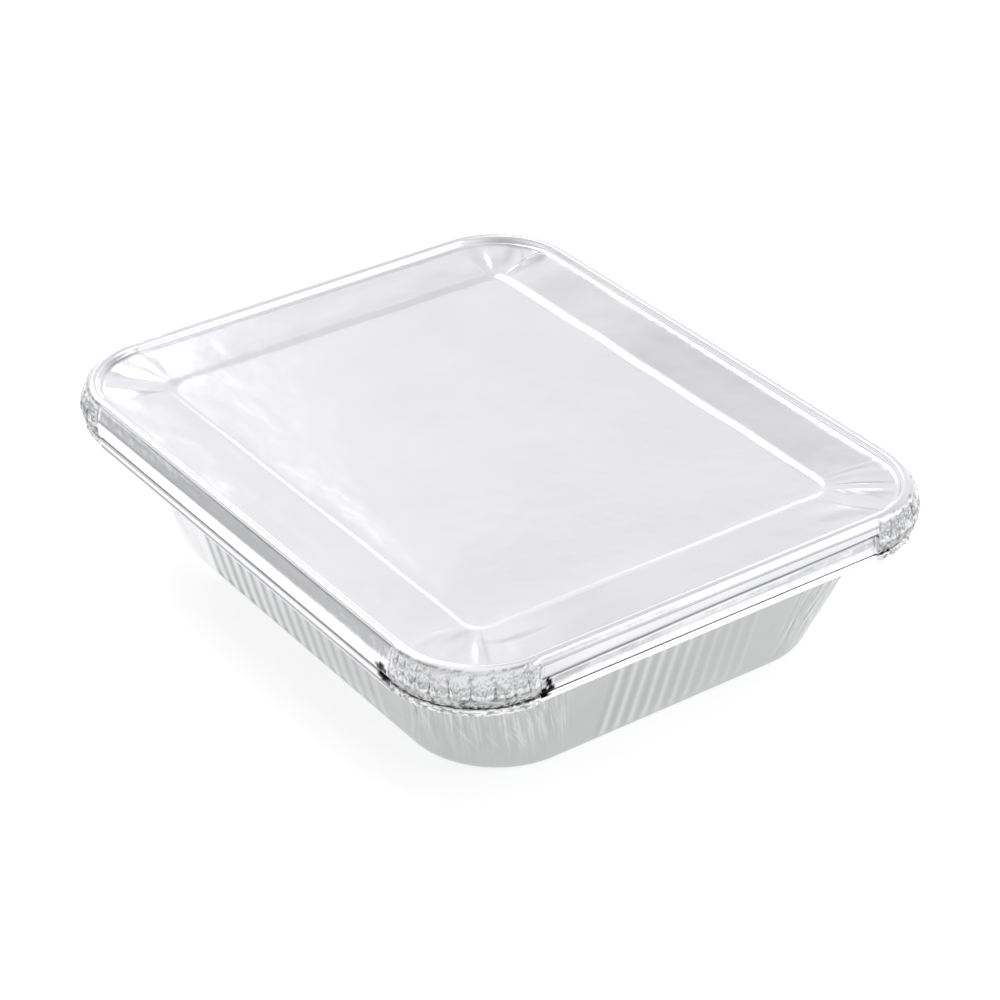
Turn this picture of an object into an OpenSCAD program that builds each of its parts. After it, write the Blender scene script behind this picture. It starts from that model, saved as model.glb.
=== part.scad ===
// Rectangular foil food container: a deep fluted tray of thin foil and the
// foil lid pressed down over its rim.
// Frame: X along the length, Y across, Z up, origin in the middle of the floor.
// Millimetres and degrees.

/* [Rim] */
// Length over the outer edge of the lid
rim_l = 324; // [300:1:350]
// Width over the outer edge of the lid
rim_w = 264.3; // [240:0.1:290]
// Corner radius of that edge
rim_r = 41; // [36:1:46]
// Width of the raised bead round the lid
bead_w = 3.6; // [3:0.1:5]
// Height of the bead above the lid's border
bead_h = 3.3; // [2.5:0.1:4.5]
// How far the bead's inner side leans
bead_lean = 1.3; // [0.8:0.1:2]
// Rounding of the bead's crown
bead_round = 0.5; // [0.3:0.1:0.8]
// Clearance between the lid and the tray's rim
nest_gap = 0.3; // [0.2:0.05:0.6]

/* [Tray] */
// Height of the tray over its rim
tray_h = 81.2; // [60:0.1:100]
// Flat ledge inside the rim on the two short sides
ledge_short = 1; // [0.5:0.1:4]
// Flat ledge inside the rim on the two long sides
ledge_long = 5; // [2:0.1:7]
// Fall of the ledge towards the inside
ledge_fall = 0.6; // [0.5:0.1:1.2]
// How far each short wall leans in from mouth to floor
lean_short = 24; // [10:0.5:32]
// How far each long wall leans in from mouth to floor
lean_long = 20.4; // [10:0.1:30]
// Corner radius at the mouth
mouth_r = 39; // [30:0.5:42]
// Corner radius at the floor
floor_r = 43; // [30:0.5:46]
// Rounding between the walls and the floor
floor_fillet = 4; // [2:0.5:7]
// Foil thickness of the tray
tray_t = 0.12; // [0.08:0.01:0.2]

/* [Flutes] */
// Upright flutes on each long wall
long_flutes = 15; // [7:1:17]
// Upright flutes on each short wall
short_flutes = 9; // [5:1:10]
// Distance from one flute to the next
flute_pitch = 9.5; // [8:0.1:10.5]
// Width of a flute at its foot
flute_w = 6; // [4:0.1:7]
// Width of a flute on its crest
flute_crest = 2.4; // [1.5:0.1:3]
// How far a flute stands out from the wall
flute_out = 1; // [0.5:0.1:2]
// Plain wall left above the flutes
flute_top = 6; // [4:0.5:12]
// Plain wall left under the flutes, above the rounding
flute_bottom = 3; // [2:0.5:10]
// Depth of the creases in the corners of the wall
wall_crease = 0.45; // [0.2:0.05:0.8]

/* [Tray hem] */
// Height of the rolled hem on the long sides
hem_long = 4.9; // [3:0.1:5.5]
// Height of the rolled hem on the short sides
hem_short = 3; // [2.4:0.1:5]
// How far the rolled hem stands out from the lip
hem_out = 2; // [1.5:0.1:2.6]
// Height of the crushed hem in the corners
crush_h = 1.8; // [1:0.1:2.4]
// Depth of the small folds in the crushed hem
crush_fold = 0.25; // [0.1:0.05:0.35]

/* [Lid] */
// Foil thickness of the lid
lid_t = 0.1; // [0.06:0.01:0.15]
// Distance from the lid's outer edge to the bevel round the sunk panel
border_w = 33; // [25:0.5:45]
// Fall of the border from the bead to the bevel
border_fall = 1.3; // [0.8:0.1:3]
// Width of the bevel
bevel_w = 5.5; // [4:0.5:10]
// Depth of the sunk panel below the border
panel_drop = 2; // [1:0.1:4]
// Corner radius of the panel
panel_r = 9; // [6:0.5:20]
// Depth of the radial folds in the corners of the border
border_fold = 0.6; // [0.2:0.1:0.8]

/* [Lid skirt] */
// Height of the skirt on the straight sides
skirt_h = 18; // [15:0.5:22]
// Height of the crimped skirt in the corners
corner_h = 20.3; // [17:0.1:24]
// Height of the flat band under the ridge on the long sides
band_long = 1.6; // [1.4:0.1:4]
// Height of the flat band under the roll on the short sides
band_short = 7.7; // [4:0.1:8]
// Slant of the crease above that band from end to end
band_slant = 1.2; // [0:0.1:2]
// How far the roll on the short sides stands out from the rim
roll_out = 2.2; // [1:0.1:3]
// How far the ridge on the long sides stands out from the rim
ridge_out = 2.6; // [1.5:0.1:3]
// Depth of that ridge below the top
ridge_h = 8.8; // [6.5:0.1:11]
// Fold line under the bead, measured from the top
neck_h = 2.6; // [2:0.1:3.5]
// Depth of the hem at the foot of the skirt
foot_h = 0.8; // [0.6:0.1:1]

/* [Corner crimps] */
// Columns of folds round each corner arc
crimps = 15; // [11:2:17]
// Crimped length beyond the corner arc on the long sides
crimp_long = 11; // [6:0.5:16]
// Crimped length beyond the corner arc on the short sides
crimp_short = 7.5; // [5:0.5:12]
// Depth of the crimp folds
crimp_fold = 0.7; // [0.3:0.05:0.9]
// How far the crimped corners bulge out
corner_out = 3; // [2:0.1:4]

/* [Hidden] */

// Level of the lid's crown. Depths h below are measured down from it.
top_z = tray_h + nest_gap + lid_t;
nest = nest_gap + lid_t;
foot_w = bead_w + bead_lean;
straight_x = rim_l / 2 - rim_r;
straight_y = rim_w / 2 - rim_r;

// Steps of the outline: in each corner of the wall, and beside each crimped run
arc_steps = 10;
step_run = 1.6;

// Height over which a flute runs out at its top
tip_run = 3;

// Tray's lip: extra clearance inside the lid, height of its shoulder, and how
// far the hem's end tucks back, rolled and crushed
lip_slack = 0.1;
lip_in = nest + lip_slack;
shoulder_h = 0.4;
hem_tuck = 0.6;
crush_tuck = 0.2;

// Lid's skirt, out from the rim's edge: at the crease, at the foot of the flat
// band, and at the neck above the crimps. foot_in is each step of its turned foot.
crease_out = 0.1;
band_out = 1.1;
crimp_neck = 0.2;
foot_in = 0.4;

// Height over which the face under the ridge turns in to the crease
ridge_tuck = 1.1;

// Tray mouth, inside the ledge
ledge_in = foot_w - nest;
mouth_l = rim_l - 2 * (ledge_in + ledge_short);
mouth_w = rim_w - 2 * (ledge_in + ledge_long);
mouth_h = bead_h + nest + ledge_fall;
mouth_z = top_z - mouth_h;

// STATIONS
// A station is a place on a rounded rectangle: [side, kind, value, zone, fold].
// Sides are counted from +X anticlockwise. Kind 0 gives a fraction of the
// straight, kind 1 an angle in the corner after the side, kind 2 a distance
// along the side. Zone is 1 where the foil is crimped, and fold is the size
// and sense of the fold there.

function is_short(k) = k % 2 == 0;
function half_straight(k) = is_short(k) ? straight_y : straight_x;
function swing(i) = (i % 2 == 0 ? 1 : -1) * (0.72 + 0.28 * sin(137.5 * i));

// Place of a station on a rounded rectangle l by w of radius r, pushed out by d
function at(l, w, r, st, d = 0) =
    let (
        k = st[0],
        hn = (is_short(k) ? l : w) / 2,
        ht = (is_short(k) ? w : l) / 2,
        p = st[1] == 1
            ? [hn - r + (r + d) * cos(st[2]), ht - r + (r + d) * sin(st[2])]
            : [hn + d, st[1] == 0 ? st[2] * (ht - r) : st[2]]
    )
    [p.x * cos(90 * k) - p.y * sin(90 * k), p.x * sin(90 * k) + p.y * cos(90 * k)];

// Running count of a station round the outline, from 0 to 8
function key(st) =
    st[1] == 1 ? 2 * st[0] + 1 + st[2] / 90
    : 2 * st[0] + 0.5 + 0.5 * st[2] / (st[1] == 2 ? half_straight(st[0]) : 1);

// Stations of a plain ring, with n steps in each corner and m on each side
function plain_stations(n, m) = [
    for (k = [0:3]) each concat(
        [for (i = [1:m - 1]) [k, 0, 2 * i / m - 1, 0, 0]],
        [for (i = [0:n]) [k, 1, 90 * i / n, 0, swing(i + 5 * k)]]
    )
];

// Stations of a rim: m steps along each straight run, then crimps round the
// corner, n steps in the arc and two beside it at each end
function rim_stations(n, m) = [
    for (k = [0:3]) let (
        hs = half_straight(k),
        run = hs - (is_short(k) ? crimp_short : crimp_long),
        a = (run + step_run) / hs,
        b = (hs + run + step_run) / 2 / hs
    ) each concat(
        [[k, 0, -b, 1, swing(n + 2)], [k, 0, -a, 1, swing(n + 3)]],
        [for (i = [0:m]) [k, 0, (2 * i / m - 1) * run / hs, 0, 0]],
        [[k, 0, a, 1, swing(-2)], [k, 0, b, 1, swing(-1)]],
        [for (i = [0:n]) [k, 1, 90 * i / n, 1, swing(i) * (1 + 0.2 * sin(211 * i + 77 * k))]]
    )
];

// Stations of the fluted wall. A flute has four, two on its crest.
function flute_stations() = [
    for (k = [0:3]) each concat(
        [
            for (i = [0:flutes(k) - 1]) let (c = (i - (flutes(k) - 1) / 2) * flute_pitch)
            each [
                [k, 2, c - flute_w / 2, 0, 0],
                [k, 2, c - flute_crest / 2, 0, flute_out],
                [k, 2, c + flute_crest / 2, 0, flute_out],
                [k, 2, c + flute_w / 2, 0, 0]
            ]
        ],
        [for (i = [0:arc_steps]) [k, 1, 90 * i / arc_steps, 1, wall_crease * swing(i + 3 * k)]]
    )
];
function flutes(k) = is_short(k) ? short_flutes : long_flutes;

// Stations where the flutes run out, one for each flute
function flute_tips() = [
    for (k = [0:3]) each concat(
        [for (i = [0:flutes(k) - 1]) [k, 2, (i - (flutes(k) - 1) / 2) * flute_pitch, 0, 0]],
        [for (i = [0:arc_steps]) [k, 1, 90 * i / arc_steps, 1, wall_crease * swing(i + 3 * k)]]
    )
];

// SKINS
// Every wall is a sheet: an upper skin, and a lower one a foil's thickness
// behind it. A section is a list of [w, h]: out from the rim's edge, and down.

function unit(v) = v / norm(v);
function behind(d) = [-d.y, d.x] / norm(d);

// A section moved back by the foil's thickness, starting after point first
function back(sec, first, t) = [
    for (i = [0:len(sec) - 1]) let (
        a = i == 0 ? first : sec[i - 1],
        b = i == len(sec) - 1 ? sec[i] : sec[i + 1],
        n = unit(behind(sec[i] - a) + behind((b - sec[i]) == [0, 0] ? sec[i] - a : b - sec[i]))
    )
    sec[i] + t * n
];

// Rings of points, one for each step of the stations' sections
function section_rings(sts, secs) = [
    for (j = [0:len(secs[0]) - 1]) [
        for (i = [0:len(sts) - 1]) let (p = at(rim_l, rim_w, rim_r, sts[i], secs[i][j][0]))
        [p.x, p.y, top_z - secs[i][j][1]]
    ]
];

// A ring [l, w, r, z] over stations, pushed out by each one's fold times d and
// lifted by its fold times u
function ring(size, sts, d = 0, u = 0) = [
    for (st = sts) let (p = at(size[0], size[1], size[2], st, d * st[4]))
    [p.x, p.y, size[3] + u * st[4]]
];

// A ring size moved back by the foil's thickness along the normal n
function shift(size, n, t) = [size[0] + 2 * t * n.x, size[1] + 2 * t * n.x, size[2] + t * n.x, size[3] - t * n.y];

// FACES

function band(a, b, n) = [
    for (i = [0:n - 1]) let (j = (i + 1) % n)
    each [[a + i, a + j, b + i], [a + j, b + j, b + i]]
];

// Middle of each step of a ring's keys
function mids(keys) = [
    for (i = [0:len(keys) - 1]) (keys[i] + (i == len(keys) - 1 ? keys[0] + 8 : keys[i + 1])) / 2
];
function below(list, v) = len([for (x = list) if (x < v - 0.00001) 1]);
function upto(list, v) = len([for (x = list) if (x <= v + 0.00001) 1]);

// Faces between two rings with different stations
function zip(a, ka, b, kb) =
    let (na = len(ka), nb = len(kb), ma = mids(ka), mb = mids(kb))
    concat(
        [for (i = [0:na - 1]) [a + i, a + (i + 1) % na, b + below(mb, ma[i]) % nb]],
        [for (j = [0:nb - 1]) [a + upto(ma, mb[j]) % na, b + (j + 1) % nb, b + j]]
    );

function starts(rings, i = 0, n = 0) =
    i == len(rings) ? [n] : concat([n], starts(rings, i + 1, n + len(rings[i])));

// Closed sheet from the rings of its two skins, first ring in the middle
module sheet(upper, lower, keys) {
    n = len(upper);
    at_ring = starts(upper);
    total = at_ring[n];
    skin = [
        for (i = [0:n - 2]) each len(upper[i]) == len(upper[i + 1])
            ? band(at_ring[i], at_ring[i + 1], len(upper[i]))
            : zip(at_ring[i], keys[i], at_ring[i + 1], keys[i + 1])
    ];
    inner = len(upper[0]);
    edge = band(at_ring[n - 1], total + at_ring[n - 1], len(upper[n - 1]));
    middles = [for (r = [upper[0], lower[0]]) [0, 0, r[0].z]];
    polyhedron(
        points = concat([for (r = concat(upper, lower)) each r], middles),
        faces = concat(
            skin,
            [for (f = skin) [f[0] + total, f[2] + total, f[1] + total]],
            edge,
            [for (i = [0:inner - 1]) [2 * total, (i + 1) % inner, i]],
            [for (i = [0:inner - 1]) [2 * total + 1, total + i, total + (i + 1) % inner]]
        )
    );
}

// TRAY

// Size of the tray's wall at height z
function wall_at(z) =
    let (f = (mouth_z - z) / mouth_z)
    [mouth_l - 2 * lean_short * f, mouth_w - 2 * lean_long * f, mouth_r + (floor_r - mouth_r) * f, z];

// Rim, lip and hem of the tray. The hem is rolled on the straight sides and
// crushed in the corners.
function tray_section(st) =
    let (
        lip = -lip_in,
        low = (st[3] == 0 ? skirt_h : corner_h) + nest,
        rolled = is_short(st[0]) ? hem_short : hem_long,
        tall = st[3] == 0 ? rolled : crush_h,
        out = st[3] == 0 ? hem_out : hem_out / 2 + crush_fold * st[4],
        tuck = st[3] == 0 ? hem_tuck : crush_tuck
    )
    [
        [-ledge_in, bead_h + nest],
        [-bead_w + lip_in, bead_round + nest],
        [-bead_w / 2, nest],
        [lip, bead_round + nest + shoulder_h],
        [lip, low],
        [lip + out * 0.75, low + tall * 0.12],
        [lip + out, low + tall * 0.5],
        [lip + out * 0.6, low + tall * 0.92],
        [lip - tuck * 0.4, low + tall],
        [lip - tuck, low + tall * 0.7]
    ];

module tray() {
    rim = rim_stations(10, 2);
    fluted = flute_stations();
    tips = flute_tips();
    plain = plain_stations(arc_steps, 3);
    secs = [for (st = rim) tray_section(st)];
    mouth = [mouth_l, mouth_w, mouth_r, mouth_z];
    inner_end = [-ledge_in - ledge_short, mouth_h];
    flute_lo = floor_fillet + flute_bottom;
    flute_hi = mouth_z - flute_top;
    foot = wall_at(floor_fillet);
    bend = wall_at(floor_fillet / 4) - [2, 2, 1, 0] * floor_fillet * 0.175;
    floor_edge = wall_at(0) - [2, 2, 1, 0] * floor_fillet;
    inside = [-2, -2, -1, 0] * tray_t;
    up = [0, 0, 0, tray_t];
    out = [1, 0.3];
    skin = function (t) concat(
        [
            ring(shift(floor_edge + up, [0, 1], t), plain),
            ring(shift(bend + up, [0.7, 0.7], t), plain),
            ring(shift(foot + inside, out, t), tips, 0.5),
            ring(shift(wall_at(flute_lo) + inside, out, t), fluted, 1),
            ring(shift(wall_at(flute_hi) + inside, out, t), fluted, 1),
            ring(shift(wall_at(flute_hi + tip_run) + inside, out, t), tips, 1),
            ring(shift(mouth, [0.6, 0.8], t), rim)
        ],
        section_rings(rim, t == 0 ? secs : [for (s = secs) back(s, inner_end, t)])
    );
    keys = concat(
        [for (sts = [plain, plain, tips, fluted, fluted, tips]) [for (st = sts) key(st)]],
        [for (i = [0:len(secs[0])]) [for (st = rim) key(st)]]
    );
    color("silver") sheet(skin(0), skin(tray_t), keys);
}

// LID

// Depth of the crease under the roll or the ridge at a station of a straight side
function crease_h(st) = skirt_h - (is_short(st[0]) ? band_short + band_slant * st[2] : band_long);

// Roll of a short side, from the neck down to the crease at depth c
function roll(c) =
    let (fall = c - neck_h)
    [
        [0, neck_h],
        [roll_out * 0.75, neck_h + fall * 0.2],
        [roll_out, neck_h + fall * 0.5],
        [roll_out * 0.7, neck_h + fall * 0.85]
    ];

// Long side: a slanted strip out to the ridge, and an upright strip below it
function ridge(c) =
    let (fall = ridge_h - neck_h)
    [
        [ridge_out * 0.25, neck_h],
        [ridge_out * 0.65, neck_h + fall * 0.5],
        [ridge_out, ridge_h],
        [ridge_out * 0.95, c - ridge_tuck]
    ];

// Skirt on a straight side: bead, roll or ridge, crease, flat band and hem
function run_section(st) =
    let (c = crease_h(st))
    [
        [-bead_w, bead_round],
        [-bead_w / 2, 0],
        [0, bead_round],
        each is_short(st[0]) ? roll(c) : ridge(c),
        [crease_out, c],
        [(crease_out + band_out) / 2, (c + skirt_h - foot_h) / 2],
        [band_out, skirt_h - foot_h],
        [band_out - foot_in, skirt_h],
        [band_out - 2 * foot_in, skirt_h - foot_h * 0.7]
    ];

// Skirt in a corner: upright folds above, a dense zigzag of crimps below
function crimp_section(st) =
    let (
        f = crimp_fold * st[4],
        o = corner_out * (0.7 + 0.3 * (st[1] == 1 ? sin(2 * st[2]) : 0)),
        fall = corner_h - neck_h
    )
    [
        [-bead_w, bead_round],
        [-bead_w / 2, 0],
        [0, bead_round],
        [crimp_neck + 0.25 * f, neck_h],
        [o * 0.7 + 0.8 * f, neck_h + fall * 0.22],
        [o * 0.95 + f, neck_h + fall * 0.5],
        [o - 0.6 * f, neck_h + fall * 0.64],
        [o * 0.95 + 0.7 * f, neck_h + fall * 0.75],
        [o * 0.85 - 0.6 * f, neck_h + fall * 0.86],
        [o * 0.6 + 0.4 * f, corner_h - foot_h],
        [o * 0.35, corner_h],
        [o * 0.15, corner_h - foot_h * 0.7]
    ];

module lid() {
    rim = rim_stations(crimps, 4);
    plain = plain_stations(12, 3);
    secs = [for (st = rim) st[3] == 0 ? run_section(st) : crimp_section(st)];
    foot = [-foot_w, bead_h];
    in_size = function (w, r, h) [rim_l - 2 * w, rim_w - 2 * w, r, top_z - h];
    bevel_h = bead_h + border_fall;
    panel = in_size(border_w + bevel_w, panel_r, bevel_h + panel_drop);
    bevel = in_size(border_w, panel_r * 1.2, bevel_h);
    mid = in_size((border_w + foot_w) / 2, (rim_r + panel_r) / 2, bead_h + border_fall / 2);
    edge = in_size(foot_w, rim_r - foot_w, bead_h);
    skin = function (t) concat(
        [
            ring(shift(panel, [-0.15, 1], t), plain),
            ring(shift(bevel, [-0.15, 1], t), plain),
            ring(shift(mid, [0, 1], t), plain, 0, border_fold),
            ring(shift(edge, [0.5, 0.9], t), plain)
        ],
        section_rings(rim, t == 0 ? secs : [for (s = secs) back(s, foot, t)])
    );
    keys = concat(
        [for (i = [0:3]) [for (st = plain) key(st)]],
        [for (i = [1:len(secs[0])]) [for (st = rim) key(st)]]
    );
    color("gainsboro") sheet(skin(0), skin(lid_t), keys);
}

tray();
lid();
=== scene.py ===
import math

import bpy
import numpy as np
from mathutils import Matrix, Vector


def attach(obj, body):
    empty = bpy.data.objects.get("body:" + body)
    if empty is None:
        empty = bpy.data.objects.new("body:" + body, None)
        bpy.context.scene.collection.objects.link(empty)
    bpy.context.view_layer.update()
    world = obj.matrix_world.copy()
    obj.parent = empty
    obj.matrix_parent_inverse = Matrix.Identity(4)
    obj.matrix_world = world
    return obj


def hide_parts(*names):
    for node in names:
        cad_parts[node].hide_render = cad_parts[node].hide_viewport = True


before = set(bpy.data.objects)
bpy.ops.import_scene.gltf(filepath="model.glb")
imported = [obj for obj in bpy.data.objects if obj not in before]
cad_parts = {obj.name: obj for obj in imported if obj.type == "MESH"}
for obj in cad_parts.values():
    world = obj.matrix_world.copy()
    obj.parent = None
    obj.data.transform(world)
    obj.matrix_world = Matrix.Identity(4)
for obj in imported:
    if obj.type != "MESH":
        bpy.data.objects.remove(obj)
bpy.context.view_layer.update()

# Sizes are in millimetres, and make() turns them into metres. In sections of the rim, w is a distance outwards from
# the rim's outline and h is a depth below TOP. In dictionaries, 0 is for the short sides and 1 for the long ones.
TOP = 81.6
RIM_L, RIM_W, RIM_R = 324.0, 264.3, 41.0
HALF = {0: RIM_W / 2 - RIM_R, 1: RIM_L / 2 - RIM_R}  # half of a straight side
CRIMP = {0: 0.8, 1: 1.4}  # how far the crimps reach on to it
ARC = RIM_R * math.pi / 2
SIDE_START = np.cumsum([0, 2 * HALF[0], ARC, 2 * HALF[1], ARC, 2 * HALF[0], ARC, 2 * HALF[1]])
GIRTH = 4 * HALF[0] + 4 * HALF[1] + 4 * ARC

# lid
SKIRT, NECK, FOOT = 18.0, 2.6, 0.8
CRIMP_TOP, CRIMP_LOW, CRIMP_OUT = 1.5, 18.2, 4.4
LID_ARC = 150  # stations in a corner
BEAD_IN, BEAD_H = 4.9, 3.3  # inset and depth of the bead's inner edge
BORDER_MID = (18.95, 25.0, 3.95)  # inset, radius and depth
BEVEL_IN, BEVEL_R, BEVEL_H, PANEL_H = 33.0, 10.8, 4.9, 6.1
BORDER_ROWS, PANEL_POINTS, PANEL_STEPS = 16, 200, 26

# tray: length, width and corner radius of its mouth and floor
MOUTH, MOUTH_Z = (313.0, 245.3, 39.0), 77.3
FLOOR = (265.0, 204.5, 43.0)
FLUTES = {0: (11, 41.0), 1: (15, 72.0)}  # number, and half of the length that they take
PITCH = {0: 7.45, 1: 9.5}
TRAY_ARC = 96
LIP = -1.1


# ---------------------------------------------------------------- noise

LAT = [np.random.default_rng(100 + i).random((256, 256)) * 2 - 1 for i in range(12)]


def noise(x, y, seed, wrap=256):
    """Smooth noise from -1 to 1, which repeats after wrap cells of x."""
    g = LAT[seed % 12]
    x, y = np.broadcast_arrays(np.asarray(x, float), np.asarray(y, float))
    xi, yi = np.floor(x).astype(int), np.floor(y).astype(int)
    fx, fy = x - xi, y - yi
    fx, fy = fx * fx * (3 - 2 * fx), fy * fy * (3 - 2 * fy)
    x0, x1, y0, y1 = xi % wrap % 256, (xi + 1) % wrap % 256, yi % 256, (yi + 1) % 256
    a = g[x0, y0] * (1 - fx) + g[x1, y0] * fx
    b = g[x0, y1] * (1 - fx) + g[x1, y1] * fx
    return a * (1 - fy) + b * fy


def round_noise(s, cells, y, seed, lean=0.0):
    """Noise of a whole number of cells round the outline, at the distance s."""
    return noise(s / GIRTH * cells + lean, y, seed, cells)


def smooth(a, b, x):
    """0 at a, 1 at b, and a smooth step between them."""
    t = np.clip((x - a) / (b - a), 0, 1)
    return t * t * (3 - 2 * t)


def bell(x, at, wide):
    """1 at one place, and falling smoothly to 0 on both sides."""
    return np.exp(-((x - at) / wide) ** 2)


def creases(x, seed, gap, end):
    """Zigzag of straight facets along x, with folds at uneven places and of uneven height."""
    r = np.random.default_rng(seed)
    at = np.cumsum(r.uniform(0.45, 1.55, int(end / gap * 1.6) + 8) * gap) - 3 * gap
    high = r.uniform(0.25, 1, len(at)) * np.where(np.arange(len(at)) % 2, 1, -1)
    return np.interp(x, at, high)


# ---------------------------------------------------------------- places on the outline

def place(k, kind, val, l, w, r, d=0.0):
    """Points of a rounded rectangle: side k, on its straight (kind 0, -1 to 1) or its arc (kind 1, degrees)."""
    shape = np.broadcast(k, l, w, r, d, val).shape
    l, w, r, d = (np.broadcast_to(np.asarray(q, float), shape) for q in (l, w, r, d))
    short = k % 2 == 0
    hn = np.where(short, l, w) / 2
    ht = np.where(short, w, l) / 2
    a = np.radians(np.where(kind == 1, val, 0))
    px = np.where(kind == 1, hn - r + (r + d) * np.cos(a), hn + d)
    py = np.where(kind == 1, ht - r + (r + d) * np.sin(a), val * (ht - r))
    c, s = np.cos(k * math.pi / 2), np.sin(k * math.pi / 2)
    return px * c - py * s, px * s + py * c


def spread(parts):
    """Uneven steps: [(start, end, step), ...] joined into one row of places."""
    out = []
    for a, b, step in parts:
        n = max(1, round((b - a) / step))
        out += list(a + (b - a) * np.arange(n) / n)
    return out


def spine(rows, counts):
    """Smooth curve through control points, with counts[i] steps from point i to the next."""
    p = np.concatenate([2 * rows[:, :1] - rows[:, 1:2], rows, 2 * rows[:, -1:] - rows[:, -2:-1]], axis=1)
    out = []
    for i, n in enumerate(counts):
        a, b, c, d = (p[:, i + j] for j in range(4))
        u, v, w = (np.sqrt(np.linalg.norm(g - f, axis=-1, keepdims=True)) + 1e-4 for f, g in ((a, b), (b, c), (c, d)))
        m1 = c - b + v * ((b - a) / u - (c - a) / (u + v))
        m2 = c - b + v * ((d - c) / w - (d - b) / (v + w))
        for t in np.arange(n) / n:
            out.append(b + m1 * t + (3 * (c - b) - 2 * m1 - m2) * t * t + (2 * (b - c) + m1 + m2) * t ** 3)
    out.append(rows[:, -1])
    return np.stack(out, axis=1)


def section(n, points):
    """Control points (w, h) at n stations, each value one number or one for each station."""
    return np.stack([np.stack([np.broadcast_to(q, n) for q in p], -1) for p in points], axis=1)


def ring_key(k, kind, val):
    """A number from 0 to 8 that grows round the outline, to match rings with different points."""
    return np.where(kind == 1, 2 * k + 1 + val / 90, 2 * k + 0.5 + 0.5 * val)


# ---------------------------------------------------------------- meshes

def quads(r, n, start=0):
    """Faces of r rings of n points each."""
    i = np.arange(r - 1)[:, None] * n
    j = np.arange(n)[None, :]
    a, b = i + j, i + (j + 1) % n
    return (np.stack([a, b, b + n, a + n], -1).reshape(-1, 4) + start).tolist()


def stitch(a, ka, b, kb):
    """Triangles between a ring with keys ka and a ring with fewer, kb."""
    na, nb = len(ka), len(kb)
    near = [int(np.argmin(np.minimum(abs(kb - q), 8 - abs(kb - q)))) for q in ka]
    out = []
    for i in range(na):
        j, m = near[i], near[(i + 1) % na]
        out.append([a + i, a + (i + 1) % na, b + j])
        while j != m:
            out.append([a + (i + 1) % na, b + (j + 1) % nb, b + j])
            j = (j + 1) % nb
    return out


def fan(start, n, centre):
    """Triangles between a ring of n points and its centre."""
    return [[start + i, start + (i + 1) % n, centre] for i in range(n)]


def turned(faces):
    return [f[::-1] for f in faces]


def make(name, verts, faces, attrs, node, material):
    """One foil sheet, which stands for its CAD node."""
    me = bpy.data.meshes.new(name)
    me.from_pydata((np.asarray(verts) * 0.001).tolist(), [], faces)
    me.validate()
    for key, values in attrs.items():
        at = me.attributes.new(key, "FLOAT", "POINT")
        at.data.foreach_set("value", np.asarray(values, dtype=np.float32))
    me.polygons.foreach_set("use_smooth", [True] * len(me.polygons))
    me.update()
    ob = bpy.data.objects.new(name, me)
    bpy.context.scene.collection.objects.link(ob)
    me.materials.append(material)
    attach(ob, "root")
    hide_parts(node)
    return ob


# ---------------------------------------------------------------- materials

def fresh_nodes(owner):
    """Empties the nodes of a material or world, and gives what makes a new node and what makes a link."""
    owner.use_nodes = True
    owner.node_tree.nodes.clear()
    return owner.node_tree.nodes.new, owner.node_tree.links.new


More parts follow.
